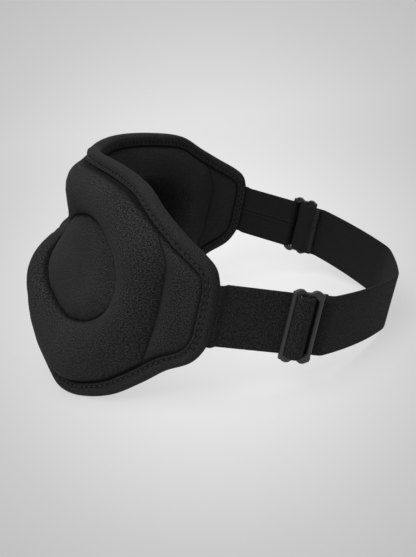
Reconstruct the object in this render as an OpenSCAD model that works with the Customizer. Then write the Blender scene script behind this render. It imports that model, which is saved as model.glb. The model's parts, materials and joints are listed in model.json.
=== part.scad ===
// Contoured eye mask: two moulded cups on a bound cloth body, worn on an
// elastic band that is let in or out by a slider at each temple.
// The mask is drawn upright round a plan curve, then laid back until it rests
// on its two cheek lobes and on the lower edge of the band.

/* [Mask body] */
// Half the length of the mask, measured along its curve from nose to temple
half_len = 115.6; // [100:0.2:135]
// Height of the top edge above the middle of the band, over the eyes
brow_h = 38.5; // [30:0.5:48]
// Depth of the cheek lobes below the middle of the band
cheek_h = 55.8; // [44:0.2:62]
// Depth of the bottom of the nose notch below the middle of the band
notch_top = 7; // [2:0.5:14]
// How far the wing stands above and below the band that is sewn on it
wing_over = 0; // [0:0.5:4]
// Turn of the mask round the brow, from the nose to the front of the eye
brow_turn = 38; // [25:1:42]
// Turn of the mask at the temple
temple_turn = 28; // [15:1:35]
// How far the nose leans forward for each millimetre below the band's top edge
flare = 0.92; // [0.5:0.02:1.2]
// The same for the cheek lobes, as a share of the lean at the nose
cheek_flare = 0.37; // [0.1:0.01:0.6]

/* [Layers] */
// Thickness of the outer cover
cover_t = 1.8; // [1:0.1:3]
// Thickness of the face lining
lining_t = 1.8; // [1:0.1:3]
// Thickness of the tape bound over the edge
tape_t = 0.8; // [0.5:0.1:1.2]
// Width of the tape on each face
tape_w = 5.5; // [4:0.5:8]
// Slack between one soft layer and the next
layer_gap = 0.3; // [0.2:0.05:0.5]

/* [Cups] */
// Distance of the eye centre from the nose, along the curve
eye_s = 48.5; // [46:0.5:54]
// Drop of the eye centre below the middle of the band
eye_drop = 4.8; // [1:0.2:8]
// Half the width of the domed eye panel
eye_w = 27.5; // [22:0.5:33]
// Half the height of the domed eye panel
eye_h = 21; // [16:0.5:25]
// Height of the ring round the eye panel, above the wing
ring_h = 11.3; // [8:0.1:18]
// Height of the floor of the groove between ring and panel
groove_h = 6; // [3:0.5:9]
// Height of the crown of the eye panel
dome_h = 12.5; // [9:0.5:18]
// How far the ring stands proud of the wing on the face side
cushion_h = 5; // [3:0.5:8]
// Distance of the outer crease of the ring from the nose, along the curve
crease_s = 92.5; // [86:0.5:98]

/* [Band] */
// Width of the band
band_w = 25; // [20:0.5:32]
// Thickness of the band
band_t = 1.2; // [0.9:0.1:1.8]
// Overlap of the temple strap on the wing where it is sewn
sewn_lap = 10; // [7:0.5:14]
// Turn of the band where it leaves the wing
wing_turn = 41; // [20:1:45]
// Turn of the band just behind the slider
slider_turn = 34; // [10:1:36]
// Turn of the band behind the ear
ear_turn = 14.5; // [8:0.5:20]
// Length of the band behind the ear
ear_len = 52; // [35:1:65]
// Length of the sharper bend where the band turns round the back of the head
nape_len = 12; // [8:1:20]

/* [Slider] */
// Thickness across the round bars
bar_t = 2.1; // [1.8:0.1:2.8]
// Thickness of the flat ends that join the bars
end_t = 1.7; // [1.2:0.1:2.4]
// Depth of the ends beyond the slots
end_d = 2.1; // [1.6:0.1:3]
// Radius of the two ears at each end
ear_r = 3.2; // [2.6:0.1:3.8]
// Depth of the notch between the ears
notch_d = 1.1; // [0.6:0.1:1.4]
// Play between the slots and the edges of the band
slot_play = 0.3; // [0.2:0.05:0.6]
// Running gap between a bar and the band that slides round it
run_gap = 0.3; // [0.2:0.05:0.5]
// Gap between two turns of the band where it is sewn round the centre bar
wrap_gap = 0.2; // [0.15:0.05:0.4]
// Distance from the bend at the wing to the middle of the slider
slider_s = 31; // [20:0.5:44]
// Length of the turned-in end of the band behind the slider
tail_len = 3; // [2:0.5:6]

/* [Hidden] */
$fn = 32;
eps = 0.01;

eye_z = -eye_drop;
wing_h = band_w / 2 + wing_over;      // half the height of the wing
wing_bend = 4;                       // length over which the band turns at the wing
slider_bend = 6;                     // length over which it turns behind the slider

// ---- how the band threads the slider, as radii round the bars ----
bar_r = bar_t / 2;
under_r = bar_r + run_gap + band_t / 2;       // temple strap, round a side bar
wrap_r = bar_r + wrap_gap + band_t / 2;       // sewn end, round the centre bar
over_r = wrap_r + band_t + wrap_gap;          // temple strap, over the sewn end
main_r = under_r + band_t + wrap_gap;         // back strap, under the side bar
tail_r = main_r + band_t + wrap_gap;          // turned-in end, under the back strap
bar_pitch = 1.03 * (under_r + over_r);        // from the centre bar to a side bar
slider_w = 2 * (bar_pitch + bar_r);
slot_h = band_w + 2 * slot_play;
slider_h = slot_h + 2 * end_d;
strap_run = slider_s + slider_w / 2 + tail_len + 1;
slider_at = half_len + wing_bend + slider_s;
tape_gap = 2 * layer_gap;            // slack between the tape and the layers in it
tape_in = tape_w + 2 * layer_gap;    // how far in from the edge the bound rim reaches
edge_gap = tape_t + tape_gap;        // how far in the cover and the lining stop
body_half = (cover_t + lining_t + layer_gap) / 2;

// ---- plan curve: a chain of arcs, each a length and a turn in degrees ----
mask_turn = brow_turn + temple_turn;
brow_len = 0.3 * half_len;
temple_len = 0.4 * half_len;
rear_turn = 180 - mask_turn - wing_turn - slider_turn - ear_turn;
nape_turn = 0.84 * rear_turn;         // most of the turn that is left is taken at the nape
back_turn = rear_turn - nape_turn;
open_arcs = [[brow_len, brow_turn],
             [half_len - brow_len - temple_len, 0],
             [temple_len, temple_turn],
             [wing_bend, wing_turn],
             [strap_run, 0],
             [slider_bend, slider_turn],
             [ear_len, ear_turn],
             [nape_len, nape_turn]];

// the end of an arc that starts at p = [s, x, y, heading]
function arc_end(p, len, turn) =
    abs(turn) < eps
    ? [p[0] + len, p[1] + len * cos(p[3]), p[2] + len * sin(p[3]), p[3]]
    : let (r = len / turn * 180 / PI)
      [p[0] + len,
       p[1] + r * (sin(p[3] + turn) - sin(p[3])),
       p[2] - r * (cos(p[3] + turn) - cos(p[3])),
       p[3] + turn];
function chain(arcs, i) =
    i == 0 ? [0, 0, 0, 0] : arc_end(chain(arcs, i - 1), arcs[i - 1][0], arcs[i - 1][1]);

open_end = chain(open_arcs, len(open_arcs));
// the last arc closes the band on the middle plane
back_r = open_end[1] / sin(open_end[3]);
back_len = back_r * back_turn * PI / 180;
arcs = concat(open_arcs, [[back_len, back_turn]]);
knots = [for (i = [0 : len(arcs)]) chain(arcs, i)];
band_end = knots[len(arcs)][0];

function arc_of(s, i = 0) = i >= len(arcs) - 1 || s <= knots[i + 1][0] ? i : arc_of(s, i + 1);
function plan(s) =
    let (i = arc_of(s), part = (s - knots[i][0]) / arcs[i][0])
    arc_end(knots[i], s - knots[i][0], arcs[i][1] * part);

// ---- edges of the mask: smooth curves through a few heights ----
function slope(t, i) =
    let (a = t[max(i - 1, 0)], b = t[min(i + 1, len(t) - 1)])
    (b[1] - a[1]) / (b[0] - a[0]);
function span_of(t, x, i = 0) = i >= len(t) - 2 || x <= t[i + 1][0] ? i : span_of(t, x, i + 1);
function curve(t, x) =
    let (i = span_of(t, x), w = t[i + 1][0] - t[i][0], u = (x - t[i][0]) / w,
         a = slope(t, i) * w, b = slope(t, i + 1) * w, d = t[i + 1][1] - t[i][1])
    t[i][1] + u * (a + u * (3 * d - 2 * a - b + u * (a + b - 2 * d)));

top_line = [[0, brow_h - 3.5],
            [0.2 * half_len, brow_h - 1],
            [0.4 * half_len, brow_h],
            [0.59 * half_len, brow_h - 1.7],
            [0.72 * half_len, 0.72 * brow_h + 0.24 * wing_h],
            [0.84 * half_len, 0.33 * brow_h + wing_h],
            [0.93 * half_len, 0.16 * brow_h + 1.2 * wing_h],
            [0.975 * half_len, 1.42 * wing_h],
            [half_len, wing_h]];
bottom_line = [[0, -notch_top],
               [0.04 * half_len, -0.8 * notch_top - 0.12 * cheek_h],
               [0.10 * half_len, -0.42 * cheek_h],
               [0.17 * half_len, -0.64 * cheek_h],
               [0.27 * half_len, -0.875 * cheek_h],
               [0.40 * half_len, -0.985 * cheek_h],
               [0.54 * half_len, -cheek_h],
               [0.68 * half_len, -0.865 * cheek_h],
               [0.79 * half_len, -0.66 * cheek_h],
               [0.87 * half_len, -0.27 * cheek_h - wing_h],
               [0.95 * half_len, -0.11 * cheek_h - 1.18 * wing_h],
               [0.982 * half_len, -1.28 * wing_h],
               [half_len, -0.95 * wing_h]];
function top_z(s) = curve(top_line, abs(s));
function bottom_z(s) = curve(bottom_line, abs(s));
// how much longer a step up the mask is than the same step square to its edge
function top_skew(s) = norm([1, top_z(s + 0.5) - top_z(s - 0.5)]);
function bottom_skew(s) = norm([1, bottom_z(s + 0.5) - bottom_z(s - 0.5)]);

// ---- the body surface: s along the mask, z up it, d out from it ----
flare_share = [[-0.25 * half_len, cheek_flare], [0, 1], [0.25 * half_len, cheek_flare],
               [0.5 * half_len, 0.74 * cheek_flare], [0.82 * half_len, 0.2 * cheek_flare],
               [half_len, 0]];
function lean_out(s, z) =
    let (drop = max(0, 5 - z))
    flare * curve(flare_share, abs(s)) * drop * drop / (drop + 8);
function sheet(s, z, d) =
    let (p = plan(abs(s)), out = (abs(s) < half_len ? lean_out(s, z) : 0) + d)
    [sign(s) * (p[1] + out * sin(p[3])), p[2] - out * cos(p[3]), z];

// ---- relief of the cups ----
crest = 0.45;                        // where the ring is highest, from the groove to the rim
nose_low = 0.86;                     // height of the ring over the nose, as a share
nose_len = 28;                       // how far from the nose the ring gains its full height
bridge_z = 8;                        // middle of the dip across the bridge of the nose
bridge_w = 12.8;                     // half the width of that dip
bridge_dip = 0.9;                    // depth of the dip, as a share
function clamp01(x) = min(1, max(0, x));
function round_up(x) = let (q = clamp01(x)) sqrt(q * (2 - q));
function crease_at(z) = crease_s - 4.5 * pow((z - 2) / 25, 2);
// lines that run a distance r inside the top edge and the bottom edge
function high_in(s, r) = min([for (k = [-6 : 6]) let (q = 0.99 * r * k / 6)
    top_z(min(half_len, abs(s + q))) - sqrt(r * r - q * q)]);
function low_in(s, r) = max([for (k = [-6 : 6]) let (q = 0.99 * r * k / 6)
    bottom_z(min(half_len, abs(s + q))) + sqrt(r * r - q * q)]);
// distance in from the rim of the ring
function rim(s, z) =
    min((high_in(s, tape_in) - z) / top_skew(s), (z - low_in(s, tape_in)) / bottom_skew(s),
        0.9 * (crease_at(z) - abs(s)));
function eye_part(s, z) =
    norm([(abs(s) - eye_s) / eye_w, (z - eye_z) / eye_h]);
function ease_in(x) = let (q = clamp01(x)) q * q * (3 - 2 * q);
// the ring is lower over the nose, and lowest across the bridge of the nose
function nose_share(s) = 1 - (1 - nose_low) * pow(1 - clamp01(abs(s) / nose_len), 2);
function bridge_share(s, z) =
    1 - bridge_dip * exp(-pow((z - bridge_z) / bridge_w, 2)) * (1 - ease_in((abs(s) - 8) / nose_len));
// where a point lies across the ring: 0 in the groove, 1 at the rim
function across(s, z) =
    let (e = eye_part(s, z), reach = norm([abs(s) - eye_s, z - eye_z]),
         a = max(0, (e - 1) * reach / max(e, 0.1)), b = max(0, rim(s, z)))
    a / max(eps, a + b);
function front_d(s, z) =
    let (e = eye_part(s, z), t = across(s, z),
         top = ring_h * nose_share(s) * bridge_share(s, z), low = min(groove_h, 0.75 * top))
    body_half + (
        e < 1 ? low + (dome_h - low) * pow(1 - e * e * e, 0.8) :
        t < crest ? low + (top - low) * sin(90 * t / crest) :
        top * sin(90 * (1 - t) / (1 - crest)));
// the lining swells as a cushion round the eye, and follows the cover inside it
function back_d(s, z) =
    let (e = eye_part(s, z), wall = ease_in((1.26 - e) / 0.42),
         pad = -body_half - cushion_h * (0.45 + 0.55 * nose_share(s)) * round_up(rim(s, z) / 15),
         under = front_d(s, z) - cover_t - lining_t - layer_gap)
    min(under, pad + wall * (under - pad));

// ---- resting attitude ----
band_d = -body_half - tape_gap - tape_t - layer_gap - band_t / 2;
bar_d = band_d + under_r;                     // plane of the slider's bars
back_d_off = bar_d - main_r;                  // middle of the back strap
rear_y = plan(band_end)[2] + back_d_off;
samples = 60;
low_pts = [for (i = [0 : samples]) let (s = i / samples * half_len * 0.98)
           sheet(s, bottom_z(s), -0.4 * (body_half + tape_gap + tape_t))];
lean = max([for (p = low_pts) atan2(-band_w / 2 - p[2], rear_y + band_t / 2 - p[1])]);
function laid(p) = [p[0], p[1] * cos(lean) + p[2] * sin(lean), p[2] * cos(lean) - p[1] * sin(lean)];
floor_z = min([for (p = low_pts) laid(p)[2]]);
front_y = min([for (s = [2 : 2 : 60], z = [-50 : 2 : 34])
               if (z > low_in(s, edge_gap) && z < high_in(s, edge_gap))
                   laid(sheet(s, z, front_d(s, z)))[1]]);
back_y = laid([0, rear_y + band_t / 2, band_w / 2])[1];

module rest() {
    translate([0, -(front_y + back_y) / 2, -floor_z]) rotate([-lean, 0, 0]) children();
}

// ---- building blocks ----
// a closed ring from a list of matching closed sections
module hoop(sections) {
    m = len(sections);
    k = len(sections[0]);
    faces = [for (i = [0 : m - 1], j = [0 : k - 1])
             let (a = i * k + j, b = i * k + (j + 1) % k,
                  c = ((i + 1) % m) * k + (j + 1) % k, d = ((i + 1) % m) * k + j)
             each [[a, b, c], [a, c, d]]];
    polyhedron([for (s = sections) each s], faces, convexity = 10);
}

// ---- mask body: each half is a fan of rays from the middle of its eye panel ----
body_len = half_len - edge_gap;
top_n = 13;                          // rays to the top edge
wing_n = 3;                          // rays to the end of the wing
low_n = 16;                          // rays to the bottom edge
nose_n = 8;                          // rays to the line down the nose
rays_n = top_n + wing_n + low_n + nose_n;
nose_ray = top_n + wing_n + low_n;
// stations along an edge, closer together at the nose and at the wing
function station(q) = body_len * (q - 0.05 * sin(360 * q));
// where the rays end: along the top, down the wing, back along the bottom and up the nose
ray_ends = let (hi = high_in(body_len, edge_gap), lo = low_in(body_len, edge_gap),
                crown = high_in(0, tape_w + layer_gap), notch = low_in(0, tape_w + layer_gap)) concat(
    [for (k = [0 : top_n]) let (s = station(k / top_n)) [s, high_in(s, edge_gap)]],
    [for (k = [1 : wing_n - 1]) [body_len, hi + (lo - hi) * k / wing_n]],
    [for (k = [0 : low_n]) let (s = station(1 - k / low_n)) [s, low_in(s, edge_gap)]],
    [for (k = [1 : nose_n - 1]) [0, notch + (crown - notch) * (k - 1) / (nose_n - 2)]]);
function along(i, f) = [eye_s, eye_z] + f * (ray_ends[i] - [eye_s, eye_z]);
// shares of a ray at the groove and at the rim of the ring
function groove_at(i) = 1 / eye_part(ray_ends[i][0], ray_ends[i][1]);
function rim_at(i, lo, hi, n = 12) =
    n == 0 ? hi
    : let (f = (lo + hi) / 2, p = along(i, f))
      rim(p[0], p[1]) > 0 ? rim_at(i, f, hi, n - 1) : rim_at(i, lo, f, n - 1);
ray_marks = [for (i = [0 : rays_n - 1])
    let (g = groove_at(i)) [g, min(0.985, rim_at(i, g, 1))]];
panel_steps = [0.3, 0.55, 0.77, 0.92, 1];
ring_steps = [0.1, 0.26, 0.45, 0.64, 0.81, 0.93, 1];
flat_steps = [0.34, 0.67, 1];
rings_n = len(panel_steps) + len(ring_steps) + len(flat_steps);
body_grid = [for (i = [0 : rays_n - 1]) let (g = ray_marks[i][0], r = ray_marks[i][1])
    concat([for (u = panel_steps) along(i, u * g)],
           [for (u = ring_steps) along(i, g + u * (r - g))],
           [for (u = flat_steps) along(i, r + u * (1 - r))])];

function call_d(which, s, z) =
    which == "cover_out" ? front_d(s, z) :
    which == "cover_in" ? front_d(s, z) - cover_t :
    which == "lining_in" ? back_d(s, z) + lining_t :
    back_d(s, z);
function patch(a, b, c, d, flip) = flip ? [[a, c, b], [a, d, c]] : [[a, b, c], [a, c, d]];

// both halves as one closed skin, joined along the line down the nose
module body_layer(outer, inner) {
    block = 1 + rings_n * rays_n;
    function at(face, half, j, i) =
        let (k = i % rays_n, shared = j == rings_n && (k == 0 || k >= nose_ray))
        (2 * face + (shared ? 0 : half)) * block + (j == 0 ? 0 : 1 + (j - 1) * rays_n + k);
    pts = [for (d = [outer, inner], side = [1, -1]) each concat(
        [sheet(side * eye_s, eye_z, call_d(d, eye_s, eye_z))],
        [for (j = [0 : rings_n - 1], i = [0 : rays_n - 1]) let (p = body_grid[i][j])
            sheet(side * p[0], p[1], call_d(d, p[0], p[1]))])];
    faces = concat(
        [for (face = [0, 1], half = [0, 1], i = [0 : rays_n - 1]) let (o = at(face, half, 0, 0),
              a = at(face, half, 1, i), b = at(face, half, 1, i + 1))
            (face + half) % 2 == 0 ? [o, a, b] : [o, b, a]],
        [for (face = [0, 1], half = [0, 1], j = [1 : rings_n - 1], i = [0 : rays_n - 1]) each
            patch(at(face, half, j, i), at(face, half, j + 1, i), at(face, half, j + 1, i + 1),
                  at(face, half, j, i + 1), (face + half) % 2 == 1)],
        [for (half = [0, 1], i = [0 : nose_ray - 1]) each
            patch(at(0, half, rings_n, i), at(1, half, rings_n, i), at(1, half, rings_n, i + 1),
                  at(0, half, rings_n, i + 1), half == 1)]);
    polyhedron(pts, faces, convexity = 10);
}

// the edge of the mask as one closed loop of [s, z]
edge_n = 30;
wing_steps = 4;
edge_s = [for (i = [-edge_n : edge_n]) let (q = i / edge_n) half_len * (q - 0.065 * sin(360 * q))];
edge_loop = concat(
    [for (s = edge_s) [s, top_z(s)]],
    [for (k = [1 : wing_steps - 1]) [half_len, wing_h - 1.95 * wing_h * k / wing_steps]],
    [for (s = edge_s) [-s, bottom_z(s)]],
    [for (k = [wing_steps - 1 : -1 : 1]) [-half_len, wing_h - 1.95 * wing_h * k / wing_steps]]);

module edge_binding() {
    n = len(edge_loop);
    under = body_half + tape_gap;
    over = under + tape_t;
    round = 0.6 * over;
    section = [[tape_w, over], [round, over], [0, over - round], [0, round - over], [round, -over],
               [tape_w, -over], [tape_w, -under], [tape_t, -under], [tape_t, under], [tape_w, under]];
    color([0.05, 0.05, 0.055]) rest() hoop([for (i = [0 : n - 1])
        let (a = edge_loop[(i + n - 1) % n], p = edge_loop[i], b = edge_loop[(i + 1) % n],
             t = (b - a) / norm(b - a))
        [for (q = section) sheet(p[0] + q[0] * t[1], p[1] - q[0] * t[0], q[1])]]);
}

module front_cover() {
    color([0.06, 0.06, 0.065]) rest() body_layer("cover_out", "cover_in");
}
module face_lining() {
    color([0.09, 0.09, 0.095]) rest() body_layer("lining_in", "lining_out");
}

// foam that fills the ring of one cup, as sections round the eye
module cup_foam() {
    skin_gap = 1.2;
    steps = [0.3, 0.4, 0.5, 0.6, 0.7];
    hoop([for (i = [0 : rays_n - 1])
        let (g = ray_marks[i][0], r = ray_marks[i][1],
             at = [for (u = steps) let (p = along(i, g + u * (r - g))) [p[0], p[1],
                   front_d(p[0], p[1]) - cover_t - skin_gap, back_d(p[0], p[1]) + lining_t + skin_gap]])
        concat([for (j = [0 : 4]) sheet(at[j][0], at[j][1], max(at[j][2], at[j][3] + 0.4))],
               [for (j = [4 : -1 : 0]) sheet(at[j][0], at[j][1], at[j][3])])]);
}
module cup_foam_left() {
    color([0.2, 0.2, 0.2]) rest() cup_foam();
}
module cup_foam_right() {
    color([0.2, 0.2, 0.2]) rest() mirror([1, 0, 0]) cup_foam();
}

// ---- band: paths of [length, turn] steps in the plane of s along and d out ----
function trace(p, steps, i = 0) =
    i == len(steps) ? [p]
    : let (n = max(1, ceil(abs(steps[i][0]) / 2), ceil(abs(steps[i][1]) / 12)))
      concat([for (k = [0 : n - 1]) arc_end(p, steps[i][0] * k / n, steps[i][1] * k / n)],
             trace(arc_end(p, steps[i][0], steps[i][1]), steps, i + 1));
function arc_step(r, turn) = [r * abs(turn) * PI / 180, turn];
// a point of the path in plan, with d measured out from the plan curve
function placed(s, d) = let (p = plan(s)) [p[1] + d * sin(p[3]), p[2] - d * cos(p[3])];
module ribbon(path) {
    linear_extrude(band_w, center = true) polygon(concat(
        [for (p = path) placed(p[1] - sin(p[3]) * band_t / 2, p[2] + cos(p[3]) * band_t / 2)],
        [for (i = [len(path) - 1 : -1 : 0]) let (p = path[i])
            placed(p[1] + sin(p[3]) * band_t / 2, p[2] - cos(p[3]) * band_t / 2)]));
}
thread_turn = asin((under_r + over_r) / bar_pitch);
wrap_turn = asin((main_r + wrap_r) / bar_pitch);
tail_turn = asin((tail_r - wrap_r) / bar_pitch);

module temple_strap() {
    start = half_len - sewn_lap;
    ribbon(trace([0, start, band_d, 0],
        [[slider_at - bar_pitch - start, 0],
         arc_step(under_r, thread_turn),
         [bar_pitch * cos(thread_turn), 0],
         arc_step(over_r, -2 * thread_turn),
         [bar_pitch * cos(thread_turn), 0],
         arc_step(under_r, thread_turn),
         [bar_r * 0.6, 0]]));
}
// the end of the back strap, turned in round the centre bar and sewn down
module strap_loop() {
    ribbon(trace([0, slider_at + bar_pitch + bar_r * 0.6, back_d_off, 180],
        [[bar_r * 0.6, 0],
         arc_step(main_r, -wrap_turn),
         [bar_pitch * cos(wrap_turn), 0],
         arc_step(wrap_r, 180 + wrap_turn - tail_turn),
         [bar_pitch * cos(tail_turn), 0],
         arc_step(tail_r, tail_turn),
         [bar_r + tail_len, 0]]));
}
module slider() {
    ear_u = slider_w / 2 - ear_r;
    ear_v = slider_h / 2 - ear_r;
    centre = placed(slider_at, bar_d);
    translate([centre[0], centre[1], 0]) rotate([0, 0, plan(slider_at)[3]]) {
        for (u = [-bar_pitch, 0, bar_pitch])
            translate([u, 0, 0]) cylinder(h = slot_h + end_d, r = bar_r, center = true);
        rotate([90, 0, 0]) linear_extrude(end_t, center = true) difference() {
            union() {
                square([slider_w, 2 * ear_v], center = true);
                square([2 * ear_u, slider_h - 2 * notch_d], center = true);
                for (i = [-1, 1], j = [-1, 1]) translate([i * ear_u, j * ear_v]) circle(ear_r);
            }
            square([slider_w + 1, slot_h], center = true);
        }
    }
}
module on_right() {
    mirror([1, 0, 0]) children();
}

module temple_strap_left() {
    color([0.1, 0.1, 0.105]) rest() temple_strap();
}
module temple_strap_right() {
    color([0.1, 0.1, 0.105]) rest() on_right() temple_strap();
}
module strap_loop_left() {
    color([0.08, 0.08, 0.085]) rest() strap_loop();
}
module strap_loop_right() {
    color([0.08, 0.08, 0.085]) rest() on_right() strap_loop();
}
module slider_left() {
    color([0.16, 0.16, 0.17]) rest() slider();
}
module slider_right() {
    color([0.16, 0.16, 0.17]) rest() on_right() slider();
}

// the back strap, from one slider round the head to the other
module back_strap() {
    start = slider_at + bar_pitch + bar_r * 0.6 + wrap_gap;
    n = 56;
    side = [for (i = [0 : n]) start + (band_end - start) * i / n];
    both = concat([for (s = side) [s, 1]], [for (i = [n - 1 : -1 : 0]) [side[i], -1]]);
    color([0.09, 0.09, 0.095]) rest() linear_extrude(band_w, center = true) polygon(concat(
        [for (q = both) let (p = placed(q[0], back_d_off + band_t / 2)) [q[1] * p[0], p[1]]],
        [for (i = [len(both) - 1 : -1 : 0]) let (q = both[i],
             p = placed(q[0], back_d_off - band_t / 2)) [q[1] * p[0], p[1]]]));
}

front_cover();
face_lining();
cup_foam_left();
cup_foam_right();
edge_binding();
temple_strap_left();
temple_strap_right();
back_strap();
slider_left();
slider_right();
strap_loop_left();
strap_loop_right();
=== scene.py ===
import bpy
import json
import math
import numpy as np
from mathutils import Matrix, Vector, noise


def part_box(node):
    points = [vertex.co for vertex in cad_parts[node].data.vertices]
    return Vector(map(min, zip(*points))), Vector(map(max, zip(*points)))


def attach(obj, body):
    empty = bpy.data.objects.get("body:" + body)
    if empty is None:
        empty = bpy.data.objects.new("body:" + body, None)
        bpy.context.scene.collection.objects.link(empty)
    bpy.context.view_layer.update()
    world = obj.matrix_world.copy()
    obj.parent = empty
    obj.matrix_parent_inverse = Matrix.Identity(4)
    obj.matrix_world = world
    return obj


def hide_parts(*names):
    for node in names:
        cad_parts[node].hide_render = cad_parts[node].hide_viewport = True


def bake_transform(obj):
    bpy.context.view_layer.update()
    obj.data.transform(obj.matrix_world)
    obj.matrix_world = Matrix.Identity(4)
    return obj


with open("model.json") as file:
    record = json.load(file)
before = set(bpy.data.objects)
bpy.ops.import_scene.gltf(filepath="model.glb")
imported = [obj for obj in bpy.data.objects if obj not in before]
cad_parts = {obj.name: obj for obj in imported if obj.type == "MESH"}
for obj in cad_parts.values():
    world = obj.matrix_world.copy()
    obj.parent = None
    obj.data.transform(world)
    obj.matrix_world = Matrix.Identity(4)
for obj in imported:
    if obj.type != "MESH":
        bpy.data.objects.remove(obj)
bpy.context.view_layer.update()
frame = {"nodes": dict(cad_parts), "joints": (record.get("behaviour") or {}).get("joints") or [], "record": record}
print("frame loaded:", len(frame["nodes"]), "nodes")

# sizes are in millimetres: s runs along the mask from its middle, z up it, and d out of its face
mask = {
    "halfLen": 115.6, "browH": 38.5, "cheekH": 55.8, "notchTop": 7.0, "wingH": 12.5,
    "browTurn": 38.0, "templeTurn": 28.0, "flare": 0.92, "cheekFlare": 0.37, "cornerCut": 3.4,
    "outlineStep": 0.8,
}
layers = {"coverT": 1.8, "liningT": 1.8, "tapeT": 0.8, "tapeW": 5.5, "gap": 0.3}
band = {
    "width": 25.0, "thick": 1.2, "wingTurn": 41.0, "wingBend": 4.0, "sliderTurn": 34.0, "sliderBend": 6.0,
    "earTurn": 14.5, "earLen": 52.0, "napeLen": 12.0, "tailLen": 3.0, "tuckIn": 2.5, "tuckD": 0.6,
    "tuckRun": 7.0, "edgeR": 0.55, "innerShade": 0.75, "seamShade": 0.9,
}
slider = {
    "barT": 2.1, "endT": 1.7, "endD": 2.1, "earR": 3.2, "notchD": 1.1, "slotPlay": 0.3,
    "runGap": 0.3, "wrapGap": 0.2, "fromWing": 31.0, "web": 2.1, "webT": 0.9, "barTuck": 1.1,
    "voxel": 0.2, "smoothing": 6,
}

# the places that follow from them
bodyHalf = (layers["coverT"] + layers["liningT"] + layers["gap"]) / 2
tapeGap = 2 * layers["gap"]
edgeGap = layers["tapeT"] + tapeGap
tapeIn = layers["tapeW"] + 2 * layers["gap"]
barR = slider["barT"] / 2
underR = barR + slider["runGap"] + band["thick"] / 2
wrapR = barR + slider["wrapGap"] + band["thick"] / 2
overR = wrapR + band["thick"] + slider["wrapGap"]
mainR = underR + band["thick"] + slider["wrapGap"]
tailR = mainR + band["thick"] + slider["wrapGap"]
barPitch = 1.03 * (underR + overR)
sliderW = 2 * (barPitch + barR)
slotH = band["width"] + 2 * slider["slotPlay"]
sliderH = slotH + 2 * slider["endD"]
sliderAt = mask["halfLen"] + band["wingBend"] + slider["fromWing"]
bandD = -bodyHalf - tapeGap - layers["tapeT"] - layers["gap"] - band["thick"] / 2
barD = bandD + underR
backD = barD - mainR

# plan curve, as arcs of (length, turn)
halfLen = mask["halfLen"]
maskTurn = mask["browTurn"] + mask["templeTurn"]
rearTurn = 180 - maskTurn - band["wingTurn"] - band["sliderTurn"] - band["earTurn"]
arcs = [
    (0.3 * halfLen, mask["browTurn"]), (0.3 * halfLen, 0.0), (0.4 * halfLen, mask["templeTurn"]),
    (band["wingBend"], band["wingTurn"]),
    (slider["fromWing"] + sliderW / 2 + band["tailLen"] + 1, 0.0),
    (band["sliderBend"], band["sliderTurn"]), (band["earLen"], band["earTurn"]),
    (band["napeLen"], 0.84 * rearTurn),
]


def arcEnd(x, y, heading, length, turn):
    h = math.radians(heading)
    if abs(turn) < 0.01:
        return x + length * math.cos(h), y + length * math.sin(h), heading + turn
    r = length / math.radians(turn)
    k = math.radians(heading + turn)
    return x + r * (math.sin(k) - math.sin(h)), y - r * (math.cos(k) - math.cos(h)), heading + turn


knots = [(0.0, 0.0, 0.0, 0.0)]
for length, turn in arcs:
    s0, x0, y0, h0 = knots[-1]
    knots.append((s0 + length,) + arcEnd(x0, y0, h0, length, turn))
lastTurn = 180 - knots[-1][3]
lastR = knots[-1][1] / math.sin(math.radians(knots[-1][3]))
arcs.append((lastR * math.radians(lastTurn), lastTurn))
bandEnd = knots[-1][0] + arcs[-1][0]


def planAt(s):
    s = np.asarray(s, float)
    x, y, h = np.zeros_like(s), np.zeros_like(s), np.zeros_like(s)
    for (length, turn), (s0, x0, y0, h0) in zip(arcs, knots):
        run = np.clip(s - s0, 0, length) if (length, turn) != arcs[-1] else s - s0
        here = s >= s0
        a = math.radians(h0)
        if abs(turn) < 0.01:
            nx, ny, nh = x0 + run * math.cos(a), y0 + run * math.sin(a), np.full_like(s, h0)
        else:
            r = length / math.radians(turn)
            k = a + run / r
            nx, ny = x0 + r * (np.sin(k) - math.sin(a)), y0 - r * (np.cos(k) - math.cos(a))
            nh = np.degrees(k)
        x, y, h = np.where(here, nx, x), np.where(here, ny, y), np.where(here, nh, h)
    return x, y, np.radians(h)


# outline of the mask
def curveThrough(table):
    t = np.array(table, float)
    lo = np.maximum(np.arange(len(t)) - 1, 0)
    hi = np.minimum(np.arange(len(t)) + 1, len(t) - 1)
    slope = (t[hi, 1] - t[lo, 1]) / (t[hi, 0] - t[lo, 0])

    def at(x):
        x = np.asarray(x, float)
        i = np.clip(np.searchsorted(t[:, 0], x, side="left") - 1, 0, len(t) - 2)
        w = t[i + 1, 0] - t[i, 0]
        u = (x - t[i, 0]) / w
        a, b, rise = slope[i] * w, slope[i + 1] * w, t[i + 1, 1] - t[i, 1]
        return t[i, 1] + u * (a + u * (3 * rise - 2 * a - b + u * (a + b - 2 * rise)))
    return at


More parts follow.
